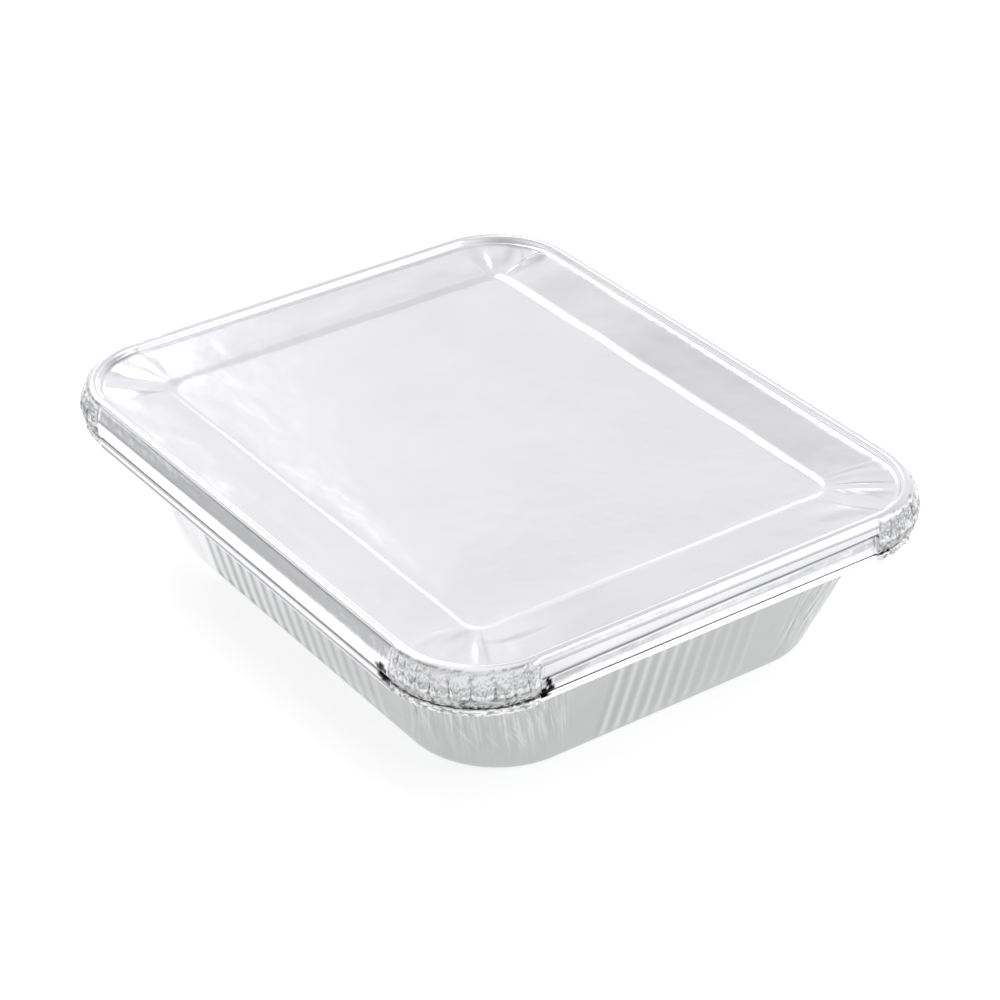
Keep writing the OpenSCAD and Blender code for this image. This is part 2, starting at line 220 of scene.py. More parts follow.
def foil(name, base, rough, tint, uneven, rolled):
    """Rolled foil: bright metal with fine rolling lines, faint cloudy wear and small crinkles.

    The mesh says where shade is painted in, towards black (painted_shade), where the foil is dull and crumpled and
    greyed by painted shade (crumple_and_shade), where it is painted bright, as highlights or as bright foil
    (painted_sheen_and_bright_foil), where it has upright ridges with painted light and dark streaks
    (ridge_sheen_shade), and the distance round the outline in metres (around).
    """
    mat = bpy.data.materials.new(name)
    N, L = fresh_nodes(mat)
    out = N("ShaderNodeOutputMaterial")
    bsdf = N("ShaderNodeBsdfPrincipled")
    bsdf.inputs["Metallic"].default_value = 1.0
    L(bsdf.outputs[0], out.inputs[0])
    co = N("ShaderNodeTexCoord").outputs["Object"]

    def mapping(vector, scale):
        m = N("ShaderNodeMapping")
        m.inputs["Scale"].default_value = scale
        L(vector, m.inputs["Vector"])
        return m.outputs[0]

    def tex(vector, scale, detail, roughness=0.5):
        t = N("ShaderNodeTexNoise")
        t.inputs["Scale"].default_value = scale
        t.inputs["Detail"].default_value = detail
        t.inputs["Roughness"].default_value = roughness
        L(vector, t.inputs["Vector"])
        return t.outputs["Fac"]

    def ramp(fac, a, b, lo, hi):
        m = N("ShaderNodeMapRange")
        for socket, value in (("From Min", a), ("From Max", b), ("To Min", lo), ("To Max", hi)):
            m.inputs[socket].default_value = value
        L(fac, m.inputs["Value"])
        return m.outputs[0]

    def attr(key):
        a = N("ShaderNodeAttribute")
        a.attribute_name = key
        return a.outputs["Fac"]

    def maths(operation, a, b):
        m = N("ShaderNodeMath")
        m.operation = operation
        L(a, m.inputs[0])
        L(b, m.inputs[1])
        return m.outputs[0]

    def mix(fac, a, b):
        """Mix of two colours, each a plain one or a socket."""
        m = N("ShaderNodeMix")
        m.data_type = "RGBA"
        L(fac, m.inputs[0])
        for socket, v in ((6, a), (7, b)):
            if isinstance(v, tuple):
                m.inputs[socket].default_value = (*v, 1)
            else:
                L(v, m.inputs[socket])
        return m.outputs[2]

    def bump(strength, distance, height, normal=None):
        b = N("ShaderNodeBump")
        b.inputs["Strength"].default_value = strength
        b.inputs["Distance"].default_value = distance
        L(height, b.inputs["Height"])
        if normal:
            L(normal, b.inputs["Normal"])
        return b.outputs[0]

    # streaks follow the wall: distance round the outline, leaning by a share of the height
    split = N("ShaderNodeSeparateXYZ")
    L(co, split.inputs[0])
    height = split.outputs[2]

    def along(lean, scale, detail, roughness):
        """Noise on the wall, over the distance round it and the height."""
        m = N("ShaderNodeMath")
        m.operation = "MULTIPLY_ADD"
        m.inputs[1].default_value = lean
        L(height, m.inputs[0])
        L(attr("around"), m.inputs[2])
        c = N("ShaderNodeCombineXYZ")
        L(m.outputs[0], c.inputs[0])
        L(height, c.inputs[1])
        return tex(mapping(c.outputs[0], scale), 1.0, detail, roughness)

    plain = mapping(co, (1, 1, 1))
    lines = tex(mapping(co, (12, 700, 60)), 1.0, 2)
    upright = along(0.04, (520, 26, 1), 3, 0.65)
    slanted = along(0.42, (300, 30, 1), 2, 0.6)
    ridge_sheen_shade, crumple_and_shade = attr("ridge_sheen_shade"), attr("crumple_and_shade")

    colour = mix(ramp(tex(plain, 18, 3), 0.35, 0.65, 0, 1), base, tint)
    # painted highlights: the colour is lifted to bright foil where the mesh marks it, on the tray's flute flanks and
    # at the ends of its sides, and on its rim
    colour = mix(attr("painted_sheen_and_bright_foil"), colour, (0.93, 0.93, 0.94))
    # painted shade: crumpled foil is greyed, for the shade among its crumples; the same mask makes it rougher and
    # bumpier below
    colour = mix(ramp(crumple_and_shade, 0, 1, 0, 0.75), colour, (0.71, 0.715, 0.705))
    # painted highlights and painted shade: light and dark streaks, upright and slanted, mixed in where the mesh marks
    # streaks
    colour = mix(maths("MULTIPLY", ridge_sheen_shade, ramp(upright, 0.515, 0.60, 0, 0.8)), colour, (0.93, 0.94, 0.94))
    colour = mix(maths("MULTIPLY", ridge_sheen_shade, ramp(slanted, 0.60, 0.66, 0, 0.75)), colour, (0.93, 0.94, 0.94))
    colour = mix(maths("MULTIPLY", ridge_sheen_shade, ramp(upright, 0.485, 0.41, 0, 0.58)), colour, (0.36, 0.37, 0.37))
    # painted shade: the colour goes towards black where the mesh marks shade, in hollows, gaps, creases, gathers and
    # patches
    L(mix(attr("painted_shade"), colour, (0.004, 0.004, 0.005)), bsdf.inputs["Base Color"])
    L(maths("ADD", ramp(lines, 0.3, 0.7, rough - 0.03 * rolled, rough + 0.05 * rolled),
            ramp(crumple_and_shade, 0, 1, 0, 0.13)), bsdf.inputs["Roughness"])

    # bumps: rolling lines, unevenness, and crumples and upright ridges where the mesh has them
    cells = N("ShaderNodeTexVoronoi")
    cells.feature = "F1"
    cells.inputs["Scale"].default_value = 520
    L(plain, cells.inputs["Vector"])
    normal = bump(0.12 * rolled, 0.0002, lines)
    normal = bump(uneven, 0.0010, tex(plain, 95, 2), normal)
    normal = bump(0.30, 0.0012, maths("MULTIPLY", cells.outputs["Distance"], crumple_and_shade), normal)
    normal = bump(0.5, 0.0014, maths("MULTIPLY", upright, ridge_sheen_shade), normal)
    L(normal, bsdf.inputs["Normal"])
    return mat


lid_foil = foil("lid_foil", (0.93, 0.93, 0.95), 0.20, (0.90, 0.90, 0.925), 0.22, 0.2)
# the tray's foil is the lid's foil made darker: painted shade for the greyer floor that its walls reflect
tray_foil = foil("tray_foil", (0.565, 0.58, 0.575), 0.22, (0.535, 0.55, 0.545), 0.10, 1.0)


# ---------------------------------------------------------------- lid

def lid_stations():
    """Side, kind, place and distance round the outline of each station, close together by the crimps."""
    out = []
    for k in range(4):
        hs, run, edge = HALF[k % 2], HALF[k % 2] - CRIMP[k % 2], CRIMP[k % 2] / 2
        for d in spread([(-hs, -run - edge, 0.3), (-run - edge, -run + 2, 0.25), (-run + 2, -run + 16, 1.0),
                         (-run + 16, run - 16, 3.2), (run - 16, run - 2, 1.0), (run - 2, run + edge, 0.25),
                         (run + edge, hs, 0.3)]):
            out.append((k, 0, d / hs, SIDE_START[2 * k] + hs + d))
        for i in range(LID_ARC):
            out.append((k, 1, 90 * i / LID_ARC, SIDE_START[2 * k + 1] + ARC * i / LID_ARC))
    return np.array(out, float).T


def crimp_folds(s, f):
    """Flat panels round the corners, the sunk gathers between them with painted shade in them, and small forks low on
    each panel.
    """
    panels, gather_shade, forks = np.zeros_like(f), np.zeros_like(f), np.zeros_like(f)
    rng = np.random.default_rng(17)
    for c in range(4):
        start = SIDE_START[2 * c + 1] - CRIMP[c % 2]
        end = SIDE_START[2 * c + 1] + ARC + CRIMP[(c + 1) % 2]
        at = [start + 0.8]
        while at[-1] < end - 5:
            t = (at[-1] - start) / (end - start)
            at.append(at[-1] + rng.uniform(3.4, 5.2) + 4.6 * math.exp(-((t - 0.5) / 0.3) ** 2))
        at[-1] = end - 0.8
        here = np.where(s < start - 400, s + GIRTH, s)  # the last corner runs on past the outline's start
        for left, right in zip(at[:-1], at[1:]):
            gap = right - left
            bend, phase, bulge = rng.uniform(0.1, 0.45), rng.uniform(0, 6.28), rng.uniform(0.25, 0.6)
            lean = rng.uniform(-0.10, 0.10)
            x = here - (left + bend * np.sin(5.5 * f + phase) + gap / 2)
            u = np.abs(x) / (gap / 2)
            mine = u < 1
            sunk = 1.2 * smooth(0.76, 1.0, u) * (0.25 + 0.75 * smooth(0.0, 0.4, f))
            panels = np.where(mine, bulge * (1 - u ** 2) + lean * x - sunk, panels)
            gather_shade = np.where(mine, smooth(1 - 0.9 / gap, 1.0, u) * (0.55 + 0.45 * np.sin(7 * f + phase)), gather_shade)
            for _ in range(2 if gap > 6 else 1):
                middle, top, wide = rng.uniform(-0.3, 0.3) * gap, rng.uniform(0.28, 0.42), rng.uniform(0.8, 1.9)
                arm = np.clip((0.56 - f) / (0.56 - top), 0, 1) * wide
                shown = smooth(top - 0.03, top + 0.05, f) * smooth(0.72, 0.62, f)
                for sign in (-1, 1):
                    line = bell(x - middle - sign * arm, 0, 0.42) * shown
                    forks = np.where(mine, np.maximum(forks, line), forks)
    return panels, gather_shade, forks


def border_marks():
    """Folds, and grey patches of painted shade, at the border's corners: right, back, left and front.

    Each is an angle in the corner, a width in degrees, a height or darkness, a twist from the bead to the bevel, and
    the place and length of its strongest part on that way, from 0 to 1.
    """
    rng = np.random.default_rng(5)
    folds = [[(rng.uniform(-18, 108), rng.uniform(2.2, 7), rng.uniform(-0.25, 0.25), rng.uniform(-12, 12),
               rng.uniform(0.3, 0.9), rng.uniform(0.35, 0.8)) for _ in range(7)] for _ in range(3)]
    folds[0] += [(39, 4.0, 0.50, -12, 0.5, 0.7), (-6, 9.0, 0.60, -44, 0.5, 0.6), (57, 1.8, -0.20, 3, 0.5, 0.5)]
    folds[1] += [(57, 7.0, 0.34, 0, 0.5, 0.7), (17, 4.6, 1.15, 14, 0.42, 0.5), (33, 6.0, -0.22, -10, 0.4, 0.5)]
    folds[2] += [(37, 7.5, -0.75, -5, 0.5, 0.6), (70, 7.5, 0.75, 15, 0.5, 0.6), (8, 6.0, 0.35, 10, 0.4, 0.5)]
    folds.append([(54, 5.0, 0.62, -6, 0.5, 0.55), (24, 6.5, -0.34, 8, 0.72, 0.30), (38, 5.0, 0.18, 0, 0.75, 0.30),
                  (5, 7.0, 0.30, 10, 0.4, 0.5), (116, 13.0, -0.25, -240, 0.6, 0.10)])
    # painted shade: grey patches and dark lines at each corner, with the same columns as the folds
    shade_patches = [[(57, 1.6, 0.22, 3, 0.5, 0.4), (5, 1.6, 0.25, -22, 0.4, 0.4)],
             [(41, 5.0, 0.17, 0, 0.35, 0.5), (76, 9.0, 0.10, 0, 0.4, 0.6), (4, 5.0, 0.18, -20, 0.15, 0.3),
              (22, 1.6, 0.16, -30, 0.5, 0.5)],
             [(36, 3.0, 0.16, -5, 0.5, 0.5), (73, 2.5, 0.14, 15, 0.5, 0.5)],
             [(30, 9.0, 0.13, 0, 0.85, 0.25), (60, 2.2, 0.12, -6, 0.5, 0.5), (116, 13.0, 0.26, -240, 0.6, 0.09)]]
    return folds, shade_patches


def lid():
    k, kind, val, s = lid_stations()
    k = k.astype(int)
    n = len(k)
    short, straight = k % 2 == 0, kind == 0
    hs = np.where(short, HALF[0], HALF[1])
    run = hs - np.where(short, CRIMP[0], CRIMP[1])
    to_arc = hs - np.abs(val) * hs
    dist = np.where(straight, np.abs(val) * hs, hs + 1)
    crimp = np.where(straight, smooth(-0.6, 0.4, dist - run), 1.0)
    plain = 1 - crimp
    wave = round_noise(s, 22, 0.5, 1)
    wave2 = round_noise(s, 60, 3.5, 2)

    # section of the skirt on the straight sides and in the corners
    crease = SKIRT - np.where(short, 7.7 + 1.2 * val, 1.5) + np.where(short, 0.45, 0.12) * wave + 0.12 * wave2
    long_side = section(n, [
        (-3.6, 0.5), (-1.8, 0), (-0.1, 0.5), (0.55, 2.0), (1.45, 4.9), (2.6, 8.7), (2.66, 9.3), (2.4, 16.1),
        (1.1, crease + 0.3), (1.1, 17.2), (1.2, SKIRT - FOOT * 0.5), (0.8, SKIRT), (0.3, SKIRT - FOOT * 0.7)])
    short_side = section(n, [
        (-3.6, 0.5), (-1.8, 0), (-0.1, 0.5), (0.95, 1.9), (1.85, 3.6), (2.02, 4.9), (2.05, 6.8), (1.1, crease - 1.1),
        (0.1, crease), (0.6, (crease + SKIRT - FOOT) / 2), (1.1, SKIRT - FOOT), (0.7, SKIRT),
        (0.3, SKIRT - FOOT * 0.7)])
    out = CRIMP_OUT * (0.7 + 0.3 * np.where(straight, 0, np.sin(np.radians(2 * val))))
    deep = CRIMP_LOW - CRIMP_TOP
    corners = section(n, [(-3.6, 0.5), (-1.8, 0), (-0.1, 0.5)] + [(out * a, CRIMP_TOP + deep * b) for a, b in (
        (0.30, 0), (0.58, 0.16), (0.84, 0.36), (1, 0.56), (0.98, 0.68), (0.92, 0.78), (0.8, 0.87))] + [
        (out * 0.6, CRIMP_LOW - FOOT), (out * 0.35, CRIMP_LOW), (out * 0.15, CRIMP_LOW - FOOT * 0.7)])
    c3 = crimp[:, None, None]
    points = np.where(short[:, None, None], short_side, long_side) * (1 - c3) + corners * c3
    # the crown of the side at the back right is flatter
    flat = np.where(straight, k == 1, np.where(k == 0, smooth(50, 90, val), np.where(k == 1, smooth(60, 25, val), 0)))
    points[:, 0] += flat[:, None] * (-0.3, -0.38)
    curve = spine(points, [3, 4, 3, 4, 5, 5, 5, 5, 5, 4, 3, 2])
    rows = curve.shape[1]
    w, h = curve[:, :, 0].T, curve[:, :, 1].T

    # crimps and their crumpled foot; f is the share of the way down them
    f = (h - CRIMP_TOP) / deep
    panels, gather_shade, forks = crimp_folds(s, f)
    sharp = 1 - 2 * np.abs(round_noise(s, 620, h * 0.62, 4))
    sharp2 = 1 - 2 * np.abs(round_noise(s, 1300, h * 1.4, 5, 0.3 * h))
    upper = smooth(-0.06, 0.05, f) * smooth(0.76, 0.62, f)
    low = smooth(0.58, 0.68, f) * smooth(1.06, 0.98, f)
    w = w + crimp * (upper * (0.75 * panels + 0.30 * forks) +
                     low * (0.22 * panels + 0.26 * sharp + 0.16 * sharp2 - 0.2))
    h = h + crimp * low * 0.25 * round_noise(s, 900, h * 1.3, 6)
    # the straight sides: faint dents, and upright wrinkles beside the crimps
    body = smooth(NECK, NECK + 2, h) * smooth(17.2, 16, h)
    wrinkle = creases(s, 21, 1.3, GIRTH + 10) * (0.13 * (smooth(22, 0, run - dist) * plain))
    dents = 0.05 * round_noise(s, 50, h * 0.05, 7) + 0.012 * round_noise(s, 230, h * 0.1, 8)
    w = w + plain * body * (dents + wrinkle)
    x, y = place(k, kind, val, RIM_L, RIM_W, RIM_R, w)
    outer = np.stack([x, y, TOP - h], -1)

    # border, bevel and panel, from the bead inwards
    def ring(inset, radius, z, lift=0.0):
        px, py = place(k, kind, val, RIM_L - 2 * inset, RIM_W - 2 * inset, radius)
        return np.stack([px, py, np.broadcast_to(z, px.shape) + lift], -1)

    folds, shade_patches = border_marks()
    in_corner = np.where(straight, smooth(26, 0, to_arc), 1.0)
    angle = np.where(straight, np.where(val > 0, -1.0, 91.0) + np.where(val > 0, -1, 1) * (1 - np.abs(val)) * hs * 0.6,
                     val)
    # painted shade: a grey wash along the border of the front right and back right sides
    side_shade = np.where(straight, np.choose(k, [0.08, 0.14, 0.0, 0.0]) * (0.8 + 0.5 * round_noise(s, 26, 8.5, 6)) *
                         smooth(0, 30, to_arc), 0.0)

    def corner_sum(marks, t):
        total = np.zeros(n)
        for c in range(4):
            mine = (k == c) & (~straight | (val > 0)) | (k == (c + 1) % 4) & straight & (val <= 0)
            for at, wide, amount, twist, peak, length in marks[c]:
                g = bell(angle, at + twist * (t - 0.5), wide) * math.exp(-((t - peak) / length) ** 2)
                total += np.where(mine, amount * g * in_corner, 0)
        return total

    shade_rows, border = [], []
    bead_edge, bevel_edge = (BEAD_IN, RIM_R - BEAD_IN, BEAD_H), (BEVEL_IN, BEVEL_R, BEVEL_H)
    for i in range(1, BORDER_ROWS + 1):
        t = i / BORDER_ROWS
        a, b, part = (bead_edge, BORDER_MID, t * 2) if t <= 0.5 else (BORDER_MID, bevel_edge, t * 2 - 1)
        inset, radius, depth = (p + (q - p) * part for p, q in zip(a, b))
        lift = (0.32 * round_noise(s, 46, inset / 16, 9) * (1 + 0.7 * (k == 1) * straight) +
                0.08 * round_noise(s, 150, inset / 7, 10))
        fade = math.sin(math.pi * min(1, t * 1.02)) ** 0.6 if t < 0.98 else 0.0
        shade_rows.append(corner_sum(shade_patches, t) + side_shade)
        border.append(ring(inset, radius, TOP - depth, (lift + corner_sum(folds, t)) * fade))
    bead = [ring(a, RIM_R - a, TOP - b) for a, b in ((BEAD_IN, BEAD_H), (4.5, 2.55), (4.05, 1.5))]
    # the bevel: distance inwards, drop, drop at the front right, and share of the unevenness
    soft = 0.12 * round_noise(s, 40, 4.2, 11)
    steep = ((k == 0) & straight) * smooth(0, 12, to_arc)
    bevel = [ring(BEVEL_IN + a, BEVEL_R - a * 0.33, TOP - BEVEL_H - b + (b - b2) * steep, soft * c)
             for a, b, b2, c in ((0.5, 0.05, 0.02, 0.4), (2.0, 0.30, 0.10, 1), (2.4, 0.43, 0.19, 1),
                                 (3.4, 0.80, 0.76, 1), (3.8, 0.93, 1.00, 0.6), (5.2, 1.15, 1.15, 0.2),
                                 (5.5, 1.17, 1.17, 0))]
    grid = np.concatenate([np.stack(bevel[::-1] + border[::-1] + bead), outer])
    total_rows = len(grid)

    # panel: rings of fewer points, towards the middle
    key = ring_key(k, kind, val)
    pick = np.linspace(0, n, PANEL_POINTS, endpoint=False).astype(int)
    px, py = bevel[-1][pick, 0], bevel[-1][pick, 1]
    panel = []
    for i in range(1, PANEL_STEPS):
        t = 1 - i / PANEL_STEPS
        qx, qy = px * t, py * t
        dz = 0.34 * noise(qx / 62 + 40, qy / 62 + 40, 1) + 0.04 * noise(qx / 24 + 40, qy / 24 + 40, 2)
        panel.append(np.stack([qx, qy, TOP - PANEL_H + dz * smooth(0, 0.14, 1 - t)], -1))
    verts = [grid.reshape(-1, 3)] + panel + [np.array([[0, 0, panel[-1][:, 2].mean()]])]
    base = total_rows * n
    last = base + (PANEL_STEPS - 2) * PANEL_POINTS
    faces = quads(total_rows, n) + turned(stitch(0, key, base, key[pick]))
    faces += turned(quads(PANEL_STEPS - 1, PANEL_POINTS, base) + fan(last, PANEL_POINTS, last + PANEL_POINTS))

    # inner skin, plain and coarser, a little behind the outer one
    cols = np.arange(0, n, 5)
    nc = len(cols)
    inner = [grid[i][cols] - (0, 0, d) for i, d in (
        (0, 0.5), (2, 0.45), (3, 0.45), (5, 0.45), (6, 0.45), (10, 0.5), (14, 0.5), (18, 0.5), (22, 0.42), (23, 0.35),
        (24, 0.35), (25, 0.35))]
    for a, b in ((-2.7, 0.62), (-1.8, 0.3), (-0.9, 0.62), (-0.55, 1.6), (-0.4, 4.0), (-0.3, 10.0), (-0.35, 16.6)):
        px, py = place(k[cols], kind[cols], val[cols], RIM_L, RIM_W, RIM_R, a)
        inner.append(np.stack([px, py, np.full(nc, TOP - b)], -1))
    off = last + PANEL_POINTS + 1
    middle = off + len(inner) * nc
    verts = np.concatenate(verts + inner + [np.array([[0, 0, TOP - PANEL_H - 0.7]])])
    faces += turned(quads(len(inner), nc, off))
    # close the foot between the skins, and the middle of the inner skin
    faces += stitch((total_rows - 1) * n, key, middle - nc, key[cols]) + fan(off, nc, middle)

    # painted shade, from the border to the foot
    painted_shade = hollow_end_shade(k, kind, val * hs, run, s, TOP - grid[:, :, 2])
    first = len(bevel)
    # painted shade on the border: grey patches at the corners and grey washes along two sides
    painted_shade[first:first + BORDER_ROWS] = np.clip(shade_rows[::-1], 0, 0.4)
    # painted shade on the bead's inner wall in the left and back corners
    painted_shade[first + BORDER_ROWS:first + BORDER_ROWS + len(bead)] = (
        0.50 * bell(angle, 18, 20) * ((k == 2) & ~straight) + 0.42 * bell(angle, 50, 18) * ((k == 1) & ~straight))
    # painted shade in the crimps: a net of dark lines, dark gathers between the panels, dark forks, a darker crumpled
    # band low down, and dark specks below the bead and near the foot
    speck_shade = smooth(0.05, 0.35, round_noise(s, 520, h * 0.5, 2))
    speck_shade2 = smooth(-0.05, 0.35, round_noise(s, 1150, h * 1.1, 3))
    net = 0.34 * smooth(0.86, 0.98, 1 - 2 * np.abs(round_noise(s, 470, h * 0.36 + 3, 7)))
    net2 = 0.22 * smooth(0.82, 0.98, 1 - 2 * np.abs(round_noise(s, 880, h * 0.8, 8, 0.25 * h)))
    crimp_shade = (upper * (np.maximum(net, net2) + 0.62 * gather_shade + 0.30 * smooth(0.35, 1, forks)) +
                low * (0.34 * smooth(0.1, -0.6, sharp) + 0.22 + 0.26 * speck_shade2) +
                bell(h, 1.0, 0.28) * (0.14 + 0.46 * speck_shade) + 0.5 * smooth(0.84, 0.92, f) * speck_shade2)
    # painted shade in the crease of the short sides' skirt, and darkening that grows down the roll's underside towards
    # it
    under_roll = smooth(5.6, 10.3, h + 10.3 - crease) ** 1.5 * (h < crease)
    crease_line = bell(h, crease + 0.1, 0.60) * (0.90 + 0.08 * wave2) + 0.66 * under_roll
    # painted shadow: a grey line just below the crown
    crown_line = bell(h, 1.65, 0.36) * (0.60 + 0.2 * wave2) * np.where(short, 0.55, 1.0)
    # painted shade: grey stripes beside the crimps' ends on the short sides, grey lines high on the short sides and on
    # their lower band, a soft grey on the front right side, and a grey line along the flatter crown
    fold_end = smooth(4.0, 0.6, run - dist) * (0.22 + 0.20 * np.sin(dist * 4.2)) * smooth(1.5, 3, h)
    upper_line = 0.34 * bell(h, 3.1, 0.32) * (1 + 0.3 * wave2)
    band_line = 0.30 * bell(h, (crease + SKIRT - FOOT) / 2, 0.34) * (1 + 0.5 * wave2)
    soft_shade = (0.15 + 0.08 * round_noise(s, 34, h * 0.12, 12)) * smooth(1.8, 3, h) * (h < 11)
    for where, marks in ((crimp, np.clip(crimp_shade, 0, 0.82)), (plain * short, crease_line), (plain, crown_line),
                         (plain * short, fold_end), (plain * short, upper_line), (plain * short, band_line),
                         (plain * (k == 0), soft_shade), (flat, 0.26 * bell(w, -0.8, 0.30) * (h < 1))):
        painted_shade[-rows:] = np.maximum(painted_shade[-rows:], where * marks)
    # painted shade: the lowest rows of the foot, tucked under, are darkened
    painted_shade[-3:] = np.maximum(painted_shade[-3:], 0.6)
    # crumpled crimps: rougher and bumpier foil, greyed by painted shade
    crumple_and_shade = np.zeros((total_rows, n))
    crumple_and_shade[-rows:] = np.clip(crimp * (0.50 * smooth(-0.1, 0.05, f) + 0.5 * low + 0.34 * bell(f, 0.64, 0.09)), 0, 1)
    attrs = {}
    for name, values in (("painted_shade", painted_shade), ("crumple_and_shade", crumple_and_shade)):
        attrs[name] = np.zeros(len(verts))
        attrs[name][:total_rows * n] = values.reshape(-1)
    return make("lid_foil_sheet", verts, turned(faces), attrs, "lid", lid_foil)


def hollow_end_shade(k, kind, dist, run, s, h):
    """Painted shade where the open ends of the rolls are hollow: 1 in the hollow, 0 outside it.

    They are at the front corner and at the one across from it, two on a side. Each hollow is a place beside the
    crimps, a depth, and its two radii, first for the long sides and then for the short ones.
    """
    hollows = (((-4.8, 13.6, 3.9, 2.2), (-4.4, 18.8, 5.0, 2.8)), ((-4.9, 13.7, 2.1, 1.9), (-3.2, 17.6, 4.3, 2.8)))
    dark = np.zeros(h.shape)
    for side, sign, which in ((3, 1, 0), (1, 1, 0), (0, -1, 1), (2, -1, 1)):
        near = (k == side) & (kind == 0)
        away = dist * sign - run
        for a0, h0, ra, rh in hollows[which]:
            ragged = 0.26 * noise(s * 0.55, h * 0.62, 3 + which) + 0.14 * noise(s * 1.7, h * 1.5, 8)
            reach = np.sqrt(((away - a0) / ra) ** 2 + ((h - h0) / rh) ** 2) + ragged
            torn = smooth(0.85, 0.65, noise(s * 1.1 + h * 0.8, h * 0.9 - s * 0.5, 9))
            dark = np.maximum(dark, np.where(near, smooth(1.05, 0.85, reach) * torn, 0))
    return dark


# ---------------------------------------------------------------- tray

def tray_stations():
    """Side, kind, place and distance from the side's middle of each station, eight to a flute."""
    out = []
    for k in range(4):
        (count, edge), pitch = FLUTES[k % 2], PITCH[k % 2]
        hs = MOUTH[1 - k % 2] / 2 - MOUTH[2]
        run = (HALF[k % 2] - CRIMP[k % 2]) / HALF[k % 2] * hs
        right = spread([(edge, run - 1, 2.4), (run - 1, run + 1, 0.4), (run + 1, hs, 0.8)])
        right = [q for q in right if edge - 0.01 < q < hs - 0.1]
        flutes = [(i - (count - 1) / 2) * pitch + pitch * (j / 8 - 0.5) for i in range(count) for j in range(8)]
        flutes = [q for q in flutes + [count / 2 * pitch] if abs(q) < edge]
        row = sorted(set(round(q, 4) for q in [-hs] + [-q for q in right] + flutes + right))
        out += [(k, 0, d / hs, d) for d in row]
        out += [(k, 1, 90 * i / TRAY_ARC, 0) for i in range(TRAY_ARC)]
    return np.array(out, float).T


